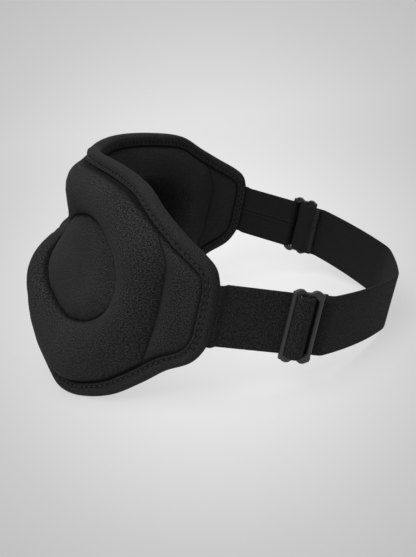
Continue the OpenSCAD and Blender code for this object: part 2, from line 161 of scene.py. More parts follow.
brow, cheek, wing = mask["browH"], mask["cheekH"], mask["wingH"]
topCurve = curveThrough([
    (0, brow - 3.5), (0.2 * halfLen, brow - 1), (0.4 * halfLen, brow), (0.59 * halfLen, brow - 1.7),
    (0.72 * halfLen, 0.72 * brow + 0.24 * wing), (0.84 * halfLen, 0.33 * brow + wing),
    (0.93 * halfLen, 0.16 * brow + 1.2 * wing), (0.975 * halfLen, 1.42 * wing), (halfLen, wing)])
bottomCurve = curveThrough([
    (0, -mask["notchTop"]), (0.04 * halfLen, -0.8 * mask["notchTop"] - 0.12 * cheek),
    (0.10 * halfLen, -0.42 * cheek), (0.17 * halfLen, -0.64 * cheek), (0.27 * halfLen, -0.875 * cheek),
    (0.40 * halfLen, -0.985 * cheek), (0.54 * halfLen, -cheek), (0.68 * halfLen, -0.865 * cheek),
    (0.79 * halfLen, -0.66 * cheek), (0.87 * halfLen, -0.27 * cheek - wing),
    (0.95 * halfLen, -0.11 * cheek - 1.18 * wing), (0.982 * halfLen, -1.28 * wing),
    (halfLen, -0.95 * wing)])
flareShare = curveThrough([
    (-0.25 * halfLen, mask["cheekFlare"]), (0, 1), (0.25 * halfLen, mask["cheekFlare"]),
    (0.5 * halfLen, 0.74 * mask["cheekFlare"]), (0.82 * halfLen, 0.2 * mask["cheekFlare"]), (halfLen, 0)])


def resampleLoop(points, step):
    p = np.vstack([points, points[:1]])
    run = np.concatenate([[0], np.cumsum(np.linalg.norm(np.diff(p, axis=0), axis=1))])
    at = np.linspace(0, run[-1], int(round(run[-1] / step)), endpoint=False)
    return np.stack([np.interp(at, run, p[:, k]) for k in range(2)], 1)


def roundedCorner(before, corner, after, steps=10):
    u = np.linspace(0, 1, steps)[:, None]
    return (1 - u) ** 2 * before + 2 * u * (1 - u) * corner + u ** 2 * after


def outlineLoop():
    cut = mask["cornerCut"]
    s = np.linspace(-halfLen, halfLen, 900)
    s = s[np.abs(s) < halfLen - 0.8 * cut]
    top = np.stack([s, topCurve(np.abs(s))], 1)
    low = np.stack([s[::-1], bottomCurve(np.abs(s[::-1]))], 1)
    corner = np.array([halfLen, wing]), np.array([halfLen, -0.95 * wing])
    rightSide = np.vstack([
        roundedCorner(top[-1], corner[0], corner[0] - [0, cut]),
        roundedCorner(corner[1] + [0, cut], corner[1], low[0])])
    leftSide = rightSide[::-1] * [-1, 1]
    return resampleLoop(np.vstack([top[:-1], rightSide, low[1:-1], leftSide]), mask["outlineStep"])


def smoothLoop(p, times):
    for _ in range(times):
        p = 0.5 * p + 0.25 * (np.roll(p, 1, 0) + np.roll(p, -1, 0))
    return p


outline = smoothLoop(outlineLoop(), 6)          # runs clockwise in s, z
tangent = np.roll(outline, -1, 0) - np.roll(outline, 1, 0)
tangent /= np.linalg.norm(tangent, axis=1)[:, None]
inward = np.stack([tangent[:, 1], -tangent[:, 0]], 1)
inward = smoothLoop(inward, 8)
inward /= np.linalg.norm(inward, axis=1)[:, None]


def insetLoop(distance):
    return outline + inward * distance


def highIn(s, r):  # highest and lowest line of the body, r in from its edge
    q = 0.99 * r * np.linspace(-1, 1, 13)
    at = np.minimum(halfLen, np.abs(s[..., None] + q))
    return (topCurve(at) - np.sqrt(r * r - q * q)).min(-1)


def lowIn(s, r):
    q = 0.99 * r * np.linspace(-1, 1, 13)
    at = np.minimum(halfLen, np.abs(s[..., None] + q))
    return (bottomCurve(at) + np.sqrt(r * r - q * q)).max(-1)


# from s, z, d to the model's own frame, in metres
slideAxis = frame["joints"][0]["axis"]
leanAngle = math.atan2(-slideAxis[2], slideAxis[1])


def leanOut(s, z):
    drop = np.maximum(0, 5 - z)
    return mask["flare"] * flareShare(np.minimum(np.abs(s), halfLen)) * drop * drop / (drop + 8)


def layBack(p):
    c, k = math.cos(leanAngle), math.sin(leanAngle)
    return np.stack([p[..., 0], p[..., 1] * c + p[..., 2] * k, p[..., 2] * c - p[..., 1] * k], -1)


def onPlan(s, z, d, side=1):
    x, y, h = planAt(s)
    return np.stack([side * (x + d * np.sin(h)), y - d * np.cos(h), z + 0 * x], -1)


middle = np.array([onPlan(np.array([sliderAt]), np.array([0.0]), np.array([barD]))[0]])
lowCorner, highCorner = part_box("slider_left")
restShift = np.array((lowCorner + highCorner) / 2) - layBack(middle)[0] * 0.001


def toFrame(p):
    return layBack(p) * 0.001 + restShift


def onSheet(s, z, d, side=1):
    out = leanOut(s, z) * (np.abs(s) < halfLen + 1) + d
    return toFrame(onPlan(np.abs(s), z, out, side))


# relief of the cups: eye panel, groove, ring, crease and the padded wing behind it
cups = {
    "eyeS": 48.5, "eyeZ": -4.8, "eyeW": 27.5, "eyeH": 21.0, "domeH": 9.8, "grooveH": 6.0, "ringH": 11.3,
    "crest": 0.45, "ringSlope": (66, 16), "cushionH": 5.0, "cushionRun": 15, "skin": 1.0,
    "creaseS": 93.5, "creaseH": 0.9, "creaseBend": (0.034, 0.0045), "creaseFlat": (-5, 8),
    "wingPad": 3.0, "wingRun": 5.5, "foldFill": 4.0, "edgeRun": 6,
    "noseLow": 0.86, "noseLen": 28.0, "bridgeZ": 8.0, "bridgeW": 12.8, "bridgeDip": 0.9,
}


def roundUp(x):
    q = np.clip(x, 0, 1)
    return np.sqrt(q * (2 - q))


def easeIn(x):
    q = np.clip(x, 0, 1)
    return q * q * (3 - 2 * q)


def creaseAt(z):
    (bendTop, bendLow), (low, high) = cups["creaseBend"], cups["creaseFlat"]
    return cups["creaseS"] - bendTop * np.maximum(0, z - high) ** 2 - bendLow * np.maximum(0, low - z) ** 2


def skewOf(curve, s):  # how much longer a height is than the way straight across a sloping edge
    return np.hypot(1, curve(np.minimum(np.abs(s) + 0.5, halfLen)) - curve(np.maximum(np.abs(s) - 0.5, 0)))


def insideTape(s, z):  # way in from the tape's inner edge
    top = (highIn(s, tapeIn) - z) / skewOf(topCurve, s)
    low = (z - lowIn(s, tapeIn)) / skewOf(bottomCurve, s)
    return np.minimum(np.minimum(top, low), halfLen - tapeIn - np.abs(s))


def rimIn(s, z):  # way in from the ring's own rim, at the tape or the crease
    return np.minimum(insideTape(s, z), 0.9 * (creaseAt(z) - np.abs(s)))


def eyePart(s, z):  # 0 in the middle of the eye panel, 1 at its edge
    return np.hypot((np.abs(s) - cups["eyeS"]) / cups["eyeW"], (z - cups["eyeZ"]) / cups["eyeH"])


def noseShare(s):  # the ring is a little lower beside the nose
    return 1 - (1 - cups["noseLow"]) * (1 - np.clip(np.abs(s) / cups["noseLen"], 0, 1)) ** 2


def topHeight(s, z):
    dip = cups["bridgeDip"] * np.exp(-((z - cups["bridgeZ"]) / cups["bridgeW"]) ** 2)
    return cups["ringH"] * noseShare(s) * (1 - dip * (1 - easeIn((np.abs(s) - 8) / cups["noseLen"])))


def acrossRing(s, z):  # 0 in the groove round the eye panel, 1 at the rim of the ring
    e = eyePart(s, z)
    reach = np.hypot(np.abs(s) - cups["eyeS"], z - cups["eyeZ"])
    a = np.maximum(0, (e - 1) * reach / np.maximum(e, 0.1))
    b = np.maximum(0, rimIn(s, z))
    return a / np.maximum(1e-6, a + b)


def frontD(s, z):
    e, t, top = eyePart(s, z), acrossRing(s, z), topHeight(s, z)
    low = np.minimum(cups["grooveH"], 0.75 * top)
    dome = low + (cups["domeH"] - low) * np.clip(1 - e ** 4, 0, 1) ** 0.6
    inner = low + (top - low) * roundUp(t / cups["crest"])
    fall = np.clip((1 - t) / (1 - cups["crest"]), 0, 1)
    temple = easeIn((np.abs(s) - cups["ringSlope"][0]) / cups["ringSlope"][1])
    outer = top * ((1 - temple) * roundUp(fall) + temple * np.sin(fall * math.pi / 2) ** 0.85)
    beyond = np.abs(s) - creaseAt(z)
    soft = roundUp(np.maximum(0, insideTape(s, z)) / cups["edgeRun"])
    padding = cups["creaseH"] + (cups["wingPad"] - cups["creaseH"]) * roundUp(beyond / cups["wingRun"])
    padding = padding * (1 - 0.6 * easeIn((beyond - 4) / 8)) * soft * easeIn((np.abs(s) - 78) / 6)
    fold = cups["foldFill"] * easeIn((np.abs(z + 4) - 15) / 14) * soft * np.exp(-(beyond / 10) ** 2)
    ring = np.where(t < cups["crest"], inner, np.maximum(np.maximum(outer, padding), fold))
    return bodyHalf + np.where(e < 0.999, dome, ring)


def backSide(s, z):
    e = eyePart(s, z)
    wall = easeIn((1.26 - e) / 0.42)
    share = 0.45 + 0.55 * noseShare(s)
    pad = -bodyHalf - cups["cushionH"] * share * roundUp(rimIn(s, z) / cups["cushionRun"])
    under = frontD(s, z) - 2 * cups["skin"] - layers["gap"]
    return np.minimum(under, pad + wall * (under - pad))


# rays from the middle of an eye to the lines round it
def rayHits(loop, angles):
    a = (loop - [cups["eyeS"], cups["eyeZ"]]) / [cups["eyeW"], cups["eyeH"]]
    b = np.roll(a, -1, 0)
    ray = np.stack([np.cos(angles), np.sin(angles)], 1)
    edge = b - a
    cross = ray[:, :1] * edge[None, :, 1] - ray[:, 1:] * edge[None, :, 0]
    cross = np.where(np.abs(cross) < 1e-12, 1e-12, cross)
    far = (a[None, :, 0] * edge[None, :, 1] - a[None, :, 1] * edge[None, :, 0]) / cross
    part = (a[None, :, 0] * ray[:, 1:] - a[None, :, 1] * ray[:, :1]) / cross
    good = (far > 0) & (part >= -1e-9) & (part <= 1 + 1e-9)
    return np.where(good, far, 1e9).min(1)


def eyeRays(count):
    angles = np.linspace(0, 2 * math.pi, count, endpoint=False)
    for z in (float(highIn(np.array(0.0), edgeGap)), float(lowIn(np.array(0.0), edgeGap))):
        turn = math.atan2((z - cups["eyeZ"]) / cups["eyeH"], -cups["eyeS"] / cups["eyeW"]) % (2 * math.pi)
        angles[np.argmin(np.abs(angles - turn))] = turn
    noseward = np.minimum(np.cos(angles), -1e-6)
    nose = np.where(np.cos(angles) < -1e-6, -cups["eyeS"] / (cups["eyeW"] * noseward), 1e9)
    z = np.linspace(-80, 80, 161)
    crease = np.stack([creaseAt(z), z], 1)
    shut = np.vstack([crease, [[-200, 90], [-200, -90]]])
    body = np.minimum(rayHits(insetLoop(edgeGap), angles), nose)
    ring = np.minimum(np.minimum(rayHits(insetLoop(tapeIn), angles), rayHits(shut, angles)), body)
    return angles, ring, body


# mesh helpers
def makePiece(name, points, faces, finish, cloth=None, shade=None):
    mesh = bpy.data.meshes.new(name)
    mesh.from_pydata([tuple(p) for p in points], [], [tuple(f) for f in faces])
    mesh.validate()
    mesh.polygons.foreach_set("use_smooth", np.ones(len(mesh.polygons), bool))
    if cloth is not None:
        spot = mesh.attributes.new("clothAt", "FLOAT_VECTOR", "POINT")
        spot.data.foreach_set("vector", np.asarray(cloth, np.float32).ravel())
        # the second attribute carries painted shade, a share from 0 to 1 by which the colour is darkened in seams,
        # folds and hollows
        depth = mesh.attributes.new("seamDepth", "FLOAT", "POINT")
        depth.data.foreach_set("value", np.zeros(len(points), np.float32) if shade is None
                               else np.asarray(shade, np.float32).ravel())
    mesh.materials.append(finish)
    piece = bpy.data.objects.new(name, mesh)
    bpy.context.scene.collection.objects.link(piece)
    return piece


def gridFaces(rows, cols, closeRows=False, closeCols=False, start=0):
    r = np.arange(rows if closeRows else rows - 1)
    c = np.arange(cols if closeCols else cols - 1)
    r, c = np.meshgrid(r, c, indexing="ij")
    r1, c1 = (r + 1) % rows, (c + 1) % cols
    quads = np.stack([r * cols + c, r * cols + c1, r1 * cols + c1, r1 * cols + c], -1)
    return (start + quads).reshape(-1, 4)


def applyModifiers(piece):
    graph = bpy.context.evaluated_depsgraph_get()
    made = bpy.data.meshes.new_from_object(piece.evaluated_get(graph), depsgraph=graph)
    old = piece.data
    piece.modifiers.clear()
    piece.data = made
    bpy.data.meshes.remove(old)
    made.name = piece.name


def addModifier(piece, kind, **settings):
    modifier = piece.modifiers.new(kind.title(), kind)
    for key, value in settings.items():
        setattr(modifier, key, value)
    return modifier


# shader helpers
class Flow:  # a socket that takes part in sums
    def __init__(self, look, socket):
        self.look = look
        self.socket = socket

    def sum(self, operation, *values):
        return self.look.node("ShaderNodeMath", {"operation": operation}, values)

    def __add__(self, other): return self.sum("ADD", self, other)
    def __radd__(self, other): return self.sum("ADD", other, self)
    def __sub__(self, other): return self.sum("SUBTRACT", self, other)
    def __rsub__(self, other): return self.sum("SUBTRACT", other, self)
    def __mul__(self, other): return self.sum("MULTIPLY", self, other)
    def __rmul__(self, other): return self.sum("MULTIPLY", other, self)
    def __truediv__(self, other): return self.sum("DIVIDE", self, other)
    def __rtruediv__(self, other): return self.sum("DIVIDE", other, self)


class Look:  # one material, or the world, and its nodes
    def __init__(self, name=None, world=None):
        self.owner = world or bpy.data.materials.new(name)
        self.owner.use_nodes = True
        self.tree = self.owner.node_tree
        self.tree.nodes.clear()

    def node(self, kind, settings=None, sockets=(), out=0):
        made = self.tree.nodes.new(kind)
        for key, value in (settings or {}).items():
            if key == "stops":
                ramp = made.color_ramp
                while len(ramp.elements) < len(value):
                    ramp.elements.new(0.5)
                for element, (place, shade) in zip(ramp.elements, value):
                    element.position = place
                    element.color = (shade, shade, shade, 1)
            else:
                setattr(made, key, value)
        pairs = sockets.items() if isinstance(sockets, dict) else enumerate(sockets)
        for key, value in pairs:
            if isinstance(value, Flow):
                self.tree.links.new(value.socket, made.inputs[key])
            elif value is not None:
                made.inputs[key].default_value = value
        return Flow(self, made.outputs[out]) if len(made.outputs) else None

    def mixColour(self, factor, first, second, blend="MIX"):
        first = (*first, 1) if isinstance(first, tuple) else first
        second = (*second, 1) if isinstance(second, tuple) else second
        return self.node("ShaderNodeMix", {"data_type": "RGBA", "blend_type": blend},
                         {0: factor, 6: first, 7: second}, out=2)

    def scaled(self, vector, factors):
        return self.node("ShaderNodeVectorMath", {"operation": "MULTIPLY"}, (vector, factors))

    def part(self, vector, axis):
        return self.node("ShaderNodeSeparateXYZ", {}, (vector,), out=axis)

    def noise(self, vector, scale, detail=2.0, rough=0.5):
        return self.node("ShaderNodeTexNoise", {}, {
            "Vector": vector, "Scale": scale, "Detail": detail, "Roughness": rough})

    def bump(self, height, distance, strength=1.0, under=None):
        return self.node("ShaderNodeBump", {}, {
            "Height": height, "Distance": distance, "Strength": strength, "Normal": under})

    def finish(self, **sockets):
        shader = self.node("ShaderNodeBsdfPrincipled", {}, {
            key: (*value, 1) if isinstance(value, tuple) and len(value) == 3 else value
            for key, value in ((k.replace("_", " "), v) for k, v in sockets.items())})
        self.node("ShaderNodeOutputMaterial", {}, {"Surface": shader})
        return self.owner


# reads the painted-shade share that each piece carries per point
def seamDepth(look):
    return look.node("ShaderNodeAttribute", {"attribute_name": "seamDepth"}, out=2)


def clothSpot(look):
    return look.node("ShaderNodeAttribute", {"attribute_name": "clothAt"}, out=1)


# tones are a dark and a light one, scales count per metre, and lengths are in metres; the last share in knit and
# elastic sets the tone of their painted shade
knit = {
    "dark": (0.005, 0.005, 0.0053), "cover": (0.0385, 0.0385, 0.0398), "lining": (0.036, 0.036, 0.0372),
    "coverLoops": (1150, 1500), "liningLoops": (1000, 1300), "fibres": 3600, "patches": 1950, "broad": 45,
    "fuzz": 0.0001, "rough": 0.9, "paintedShadeTone": 0.08,
}
elastic = {
    "dark": (0.004, 0.004, 0.0042), "light": (0.026, 0.026, 0.0268), "rib": 0.00115, "pick": 0.0008,
    "fibres": 3200, "patches": 2000, "fuzz": 0.00016, "rough": 0.85, "paintedShadeTone": 0.2,
}
threads = {
    "seam": (0.007, 0.007, 0.0075), "serge": (0.024, 0.024, 0.025), "foam": (0.05, 0.05, 0.05),
    "twist": 3000, "fuzz": 0.00006,
}
moulded = {"dark": (0.015, 0.015, 0.0165), "light": (0.026, 0.026, 0.0275), "grain": 2200, "rough": 0.36}
sheen = {"Sheen_Weight": 0.01, "Sheen_Roughness": 0.5, "Sheen_Tint": (0.8, 0.8, 0.82)}


def knitFinish(name, light, loops):
    look = Look(name)
    spot = clothSpot(look)
    s, z = look.part(spot, 0), look.part(spot, 1)
    sway = look.noise(spot, 260, 2) - 0.5
    wales = s.sum("SINE", s * (loops[0] * math.tau) + sway * 1.3)
    courses = s.sum("SINE", z * (loops[1] * math.tau) + sway * 1.1)
    loop = wales * courses * 0.5 + 0.5
    fibre = look.noise(spot, knit["fibres"], 2, 0.7)
    patch = look.noise(spot, knit["patches"], 2, 0.6)
    broad = look.noise(spot, knit["broad"], 2)
    height = loop * 0.4 + fibre * 0.9 + patch * 0.5
    tone = (patch - 0.5) * 4.2 + (fibre - 0.5) * 3.6 + (loop - 0.5) * 0.3 + (broad - 0.5) * 0.5 + 0.38
    tone = look.node("ShaderNodeClamp", {}, (tone, 0.0, 1.0))
    worked = look.mixColour(tone, knit["dark"], light)
    # painted shade: the colour is darkened towards a shaded tone by the per-point shade share, in seams, folds and
    # the eye hollow
    shadeShare = look.node("ShaderNodeClamp", {}, (seamDepth(look), 0.0, 0.96))
    shadedTone = tuple(knit["paintedShadeTone"] * c for c in knit["dark"])
    return look.finish(
        Base_Color=look.mixColour(shadeShare, worked, shadedTone),
        Roughness=knit["rough"] + (patch - 0.5) * 0.12,
        Normal=look.bump(height, knit["fuzz"]), Specular_IOR_Level=0.12, **sheen)


def elasticFinish(name):
    look = Look(name)
    spot = clothSpot(look)
    along, across = look.part(spot, 0), look.part(spot, 1)
    sway = (look.noise(look.scaled(spot, (0.4, 1, 1)), 500, 3) - 0.5) * 5
    cords = along.sum("SINE", across * (math.tau / elastic["rib"]) + sway)      # ribs along the band
    picks = along.sum("SINE", along * (math.tau / elastic["pick"]) + cords * 1.4 + sway)
    weave = cords * 0.12 + picks * 0.3 + 0.5
    fibre = look.noise(spot, elastic["fibres"], 2, 0.7)
    patch = look.noise(look.scaled(spot, (1, 0.6, 1)), elastic["patches"], 2, 0.6)
    tone = look.node("ShaderNodeClamp", {}, (
        (weave - 0.5) * 0.5 + (fibre - 0.5) * 3.4 + (patch - 0.5) * 4.2 + 0.38, 0.0, 1.0))
    worked = look.mixColour(tone, elastic["dark"], elastic["light"])
    # painted shade: the band's colour is darkened by the per-point shade share, along its seam, its inner face and
    # its turned-in end
    shadedTone = tuple(elastic["paintedShadeTone"] * c for c in elastic["light"])
    return look.finish(
        Base_Color=look.mixColour(seamDepth(look), worked, shadedTone),
        Roughness=elastic["rough"] + (fibre - 0.5) * 0.15,
        Normal=look.bump(weave * 0.6 + fibre * 0.8 + patch * 0.6, elastic["fuzz"]),
        Specular_IOR_Level=0.15, **sheen)


def threadFinish(name, shade):
    look = Look(name)
    spot = look.node("ShaderNodeTexCoord", {}, out=3)
    twist = look.noise(spot, threads["twist"], 2)
    return look.finish(
        Base_Color=look.mixColour(twist, tuple(0.6 * c for c in shade), shade),
        Roughness=0.62 + (twist - 0.5) * 0.2,
        Normal=look.bump(twist, threads["fuzz"]), Sheen_Weight=0.2, Specular_IOR_Level=0.35)


def mouldedFinish(name):
    look = Look(name)
    spot = look.node("ShaderNodeTexCoord", {}, out=3)
    grain = look.noise(spot, moulded["grain"], 3, 0.6)
    cloud = look.noise(spot, 160, 3)
    scuff = look.noise(look.scaled(spot, (1, 1, 0.2)), 900, 2)
    worn = look.node("ShaderNodeValToRGB", {"stops": ((0.58, 0.0), (0.74, 1.0))}, (scuff,))
    return look.finish(
        Base_Color=look.mixColour(cloud, moulded["dark"], moulded["light"]),
        Roughness=moulded["rough"] + (grain - 0.5) * 0.22 + (cloud - 0.5) * 0.16,
        Normal=look.bump(grain * 0.7 + look.part(worn, 0) * 0.2, 0.00003), Specular_IOR_Level=0.5)


coverKnit = knitFinish("coverKnit", knit["cover"], knit["coverLoops"])
liningKnit = knitFinish("liningKnit", knit["lining"], knit["liningLoops"])
bandElastic = elasticFinish("bandElastic")
seamThread = threadFinish("seamThread", threads["seam"])
sergeThread = threadFinish("sergeThread", threads["serge"])
ringFoam = threadFinish("ringFoam", threads["foam"])
sliderPlastic = mouldedFinish("sliderPlastic")
print("finishes made")


# cups: the cover and the lining, as rings of points round the middle of each eye panel
cupMesh = {"rays": 288, "discRings": 22, "ringRings": 38, "edgeRings": 14, "evenings": 5, "weld": 0.00002}


def cupGrid(count):
    angles, ringEnd, bodyEnd = eyeRays(count)
    cosines, sines = np.cos(angles), np.sin(angles)
    disc = np.sin(np.linspace(0, math.pi / 2, cupMesh["discRings"] + 1)[1:])
    disc[0] *= 0.6
    ringPart = 0.5 - 0.5 * np.cos(math.pi * np.linspace(0, 1, cupMesh["ringRings"] + 1)[1:])
    edgePart = np.linspace(0, 1, cupMesh["edgeRings"] + 1)[1:]
    radii = [np.full(count, e) for e in disc]
    radii += [1 + (ringEnd - 1) * t for t in ringPart]
    radii += [ringEnd + (bodyEnd - ringEnd) * t for t in edgePart]
    e = np.stack(radii)
    return cups["eyeS"] + e * cups["eyeW"] * cosines, cups["eyeZ"] + e * cups["eyeH"] * sines


# painted shade in the seams and folds: how dark it is, and how wide in millimetres;
# the groove's width and the hollow's reach are shares of the eye panel
paintedSeamShade = {
    "groove": 0.8, "crease": 0.85, "edge": 0.85, "width": 0.5, "grooveW": 0.55 / 24,
    "hollow": 0.97, "hollowFrom": 1.24, "hollowRun": 0.62,
    "liningEdge": 0.8, "liningCrease": 0.6, "liningW": 0.6,
}


def creaseLine(s, z, width):
    return np.exp(-((np.abs(s) - creaseAt(z)) / width) ** 2) * easeIn((30 - np.abs(z + 3)) / 9)


def tapeLine(s, z):
    return np.exp(-(np.maximum(0, insideTape(s, z) - 0.1) / paintedSeamShade["width"]) ** 2)


def seamShade(s, z):  # painted shade where the cover dips into the groove, the crease and the tape's inner edge
    groove = paintedSeamShade["groove"] * np.exp(-((eyePart(s, z) - 1.0) / paintedSeamShade["grooveW"]) ** 2)
    crease = paintedSeamShade["crease"] * creaseLine(s, z, paintedSeamShade["width"])
    return np.maximum(np.maximum(groove, crease), paintedSeamShade["edge"] * tapeLine(s, z))


def hollowShade(s, z):  # painted shade: the lining darkens into the hollow over the eye, and along its crease and edge
    deep = paintedSeamShade["hollow"] * easeIn((paintedSeamShade["hollowFrom"] - eyePart(s, z)) / paintedSeamShade["hollowRun"])
    crease = paintedSeamShade["liningCrease"] * creaseLine(s, z, paintedSeamShade["liningW"])
    return np.maximum(np.maximum(deep, crease), paintedSeamShade["liningEdge"] * tapeLine(s, z))


# the padded faces swell a little under pressure, held down at the nose, the crease and the edge;
# the cloth is worked at a larger scale, so that the pressure counts against its weight
swell = {
    "rayStep": 3, "rowStep": 2, "pressure": 5.0, "liningShare": -0.35, "frames": 20, "cap": 0.0009,
    "stiff": 8.0, "weight": 0.01, "grown": 12.0, "held": (0.4, 1.2, 0.6),
}


def clothSwell(points, heldRows, heldSpots, push):
    rows, cols = points.shape[:2]
    last = cupMesh["discRings"] + cupMesh["ringRings"] - 1      # past here the rays' points run together
    pickedRows = np.array(sorted(set(range(0, last, swell["rowStep"])) | {last} | set(heldRows)))
    pickedCols = np.arange(0, cols, swell["rayStep"])
    coarse = points[pickedRows][:, pickedCols]
    n, m = coarse.shape[:2]
    faces = gridFaces(n, m, closeCols=True)[:, ::-1]
    sheet = makePiece("swellSheet", coarse.reshape(-1, 3) * swell["grown"], faces, coverKnit)
    held = np.isin(pickedRows, heldRows + [last])[:, None] | heldSpots[pickedRows][:, pickedCols]
    sheet.vertex_groups.new(name="held").add([int(k) for k in np.flatnonzero(held)], 1.0, "REPLACE")
    cloth = sheet.modifiers.new("Cloth", "CLOTH").settings
    cloth.use_pressure = True
    cloth.uniform_pressure_force = push * swell["pressure"]
    cloth.vertex_group_mass = "held"
    cloth.tension_stiffness = cloth.compression_stiffness = swell["stiff"]
    cloth.mass = swell["weight"]
    cloth.effector_weights.gravity = 0
    for step in range(1, swell["frames"] + 1):
        bpy.context.scene.frame_set(step)
    shaped = sheet.evaluated_get(bpy.context.evaluated_depsgraph_get()).data
    co = np.zeros(n * m * 3)
    shaped.vertices.foreach_get("co", co)
    bpy.context.scene.frame_set(1)
    bpy.data.objects.remove(sheet)
    shift = co.reshape(n, m, 3) / swell["grown"] - coarse
    length = np.linalg.norm(shift, axis=-1, keepdims=True)
    shift *= swell["cap"] * np.tanh(length / swell["cap"]) / np.maximum(length, 1e-9)
    print("cloth before its cap: mean %.2f, most %.2f mm" % (length.mean() * 1000, length.max() * 1000))
    shut = np.concatenate([shift, shift[:, :1]], 1)
    shutCols = np.append(pickedCols, cols)
    across = np.stack([[np.interp(np.arange(cols), shutCols, row[:, k]) for k in range(3)] for row in shut])
    full = np.stack([[np.interp(np.arange(rows), pickedRows, across[:, k, c]) for k in range(3)]
                     for c in range(cols)])
    return full.transpose(2, 0, 1) * (np.arange(rows) <= last)[:, None, None]


def cupLayer(name, depth, thickness, finish, shadeOf, push):
    s, z = cupGrid(cupMesh["rays"])
    s = np.maximum(s, 0)
    rows, cols = s.shape
    groove = cupMesh["discRings"] - 1
    d = smoothRelief(depth(s, z), groove)
    flat = [s.ravel(), z.ravel(), d.ravel()]
    shade = np.append(shadeOf(s, z).ravel(), shadeOf(np.array([cups["eyeS"]]), np.array([cups["eyeZ"]])))
    puff = np.zeros((rows, cols, 3))
    nose, crease, edge = swell["held"]
    still = (s < nose) | (np.abs(s - creaseAt(z)) < crease) | (insideTape(s, z) < edge)
    puff = clothSwell(onSheet(s, z, d), [groove], still, push)
    points, cloth, faces = [], [], []
    for side in (1, -1):
        base = sum(len(p) for p in points)
        laid = onSheet(flat[0], flat[1], flat[2], side) + puff.reshape(-1, 3) * [side, 1, 1]
        points.append(np.vstack([laid, laid[:cols].mean(0)]))
        cloth.append(np.vstack([np.stack([side * flat[0], flat[1], 0 * flat[0]], 1),
                                [[side * cups["eyeS"], cups["eyeZ"], 0]]]) * 0.001)
        quads = gridFaces(rows, cols, closeCols=True, start=base)
        fan = [(base + rows * cols, base + (c + 1) % cols, base + c) for c in range(cols)]
        if side == 1:
            quads = quads[:, ::-1]
            fan = [f[::-1] for f in fan]
        faces += [tuple(q) for q in quads] + fan
    piece = makePiece(name, np.vstack(points), faces, finish, np.vstack(cloth), np.tile(shade, 2))
    addModifier(piece, "WELD", merge_threshold=cupMesh["weld"])
    addModifier(piece, "SOLIDIFY", thickness=thickness * 0.001, offset=-1.0)
    applyModifiers(piece)
    return piece


def smoothRelief(d, grooveRow):
    for _ in range(cupMesh["evenings"]):
        padded = np.vstack([d[:1], d, d[-1:]])
        even = (padded[:-2] + padded[2:] + np.roll(d, 1, 1) + np.roll(d, -1, 1)) / 4
        keep = d[grooveRow].copy()
        d = 0.55 * d + 0.45 * even
        d[grooveRow] = keep
    return d


cover = cupLayer("maskCover", frontD, cups["skin"], coverKnit, seamShade, 1.0)
lining = cupLayer("maskLining", backSide, -cups["skin"], liningKnit, hollowShade, swell["liningShare"])
print("cover and lining made:", len(cover.data.polygons), len(lining.data.polygons), "faces")

# bound edge
tape = {
    "lipH": 0.75, "seamH": 0.3, "seamIn": 1.5, "rowIn": 3.1, "roll": 0.86, "pucker": 0.05, "ripple": 0.02,
    "stitch": 1.9, "stitchGap": 0.8, "thread": 0.2, "sides": 6, "endFrom": 105, "endHalf": 15,
    "seamShade": 0.85, "lipShade": 0.9, "rowDip": 0.22,
}
tapeRoll = tape["roll"] * (bodyHalf + tapeGap + layers["tapeT"])


def tapeSection():
    over = tapeRoll
    lip, seam = bodyHalf + tape["lipH"], bodyHalf + tape["seamH"]
    w, sewn = layers["tapeW"], layers["tapeW"] - tape["seamIn"]
    front = [(w, lip - 0.55), (w - 0.08, lip - 0.1), (w - 0.35, lip + 0.12), (w - 0.8, lip + 0.1),
             (sewn + 0.3, seam + 0.12), (sewn, seam), (sewn - 0.3, seam + 0.15),
             (w - 2.2, over - 0.12), (w - 2.65, over), (w - tape["rowIn"], over + 0.02), (w - 3.5, over)]
    bend = [(over * 0.62 * (1 - math.cos(a)), over * math.sin(a))
            for a in np.linspace(math.radians(80), math.radians(-80), 13)]
    rear = [(q, -d) for q, d in front[::-1]]
    deep = bodyHalf + 0.1
    inside = [(w - 0.2, -deep), (1.0, -deep), (1.0, deep), (w - 0.2, deep)]
    return np.array(front + bend + rear + inside)


def loopRun(loop):
    return np.concatenate([[0], np.cumsum(np.linalg.norm(np.roll(loop, -1, 0) - loop, axis=1))[:-1]])


def sideOf(s):
    return np.where(s < 0, -1, 1)


def endPart(at):  # 1 where the band is sewn in behind the wing's end
    s, z = np.abs(at[:, 0]), np.abs(at[:, 1])
    return easeIn((s - tape["endFrom"]) / 3) * easeIn((tape["endHalf"] - z) / 2)


